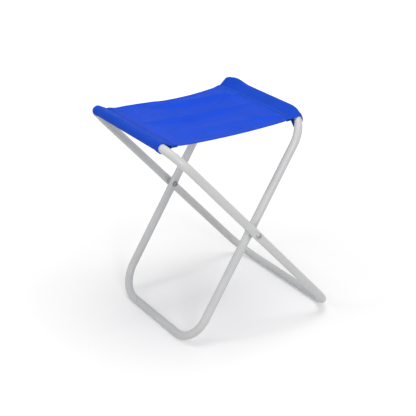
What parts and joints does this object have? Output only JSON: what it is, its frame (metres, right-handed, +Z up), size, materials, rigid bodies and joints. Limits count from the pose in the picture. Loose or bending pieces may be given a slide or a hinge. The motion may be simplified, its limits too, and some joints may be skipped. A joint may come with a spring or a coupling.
{
  "type": "camp stool",
  "caption": "Folding camp stool with two crossed bent-tube frames pivoted on rivets and a cloth seat slung between their top rails",
  "frame": {"origin": "on the floor under the middle of the stool, at the bottom centre of its bounding box", "axes": "+Z up; X across the fold, with the outer frame's seat rail on the -X side; Y along the seat rails and the pivot"},
  "size_m": [0.3795, 0.3374, 0.4211],
  "materials": {
    "frame_paint": "satin light-grey powder coat on steel tube",
    "rivet_steel": "zinc-plated steel",
    "grey_plastic": "moulded nylon",
    "seat_cloth": "blue coated polyester cloth, plain weave"
  },
  "bodies": {
    "outer_frame": {"outer_frame_tube": "frame_paint", "outer_joining_plug": "grey_plastic", "outer_sleeve": "seat_cloth", "near_rivet": "rivet_steel", "near_spacer": "grey_plastic", "near_washer": "rivet_steel", "far_rivet": "rivet_steel", "far_spacer": "grey_plastic", "far_washer": "rivet_steel", "seat_panel": "seat_cloth"},
    "inner_frame": {"inner_frame_tube": "frame_paint", "inner_joining_plug": "grey_plastic", "inner_sleeve": "seat_cloth"}
  },
  "joints": [
    {"name": "fold", "type": "hinge", "parent": "outer_frame", "child": "inner_frame", "pos_m": [-0.0037, 0, 0.21246], "axis": [0, -1, 0], "range_deg": [0, 72], "deforming": ["seat_panel"]}
  ]
}
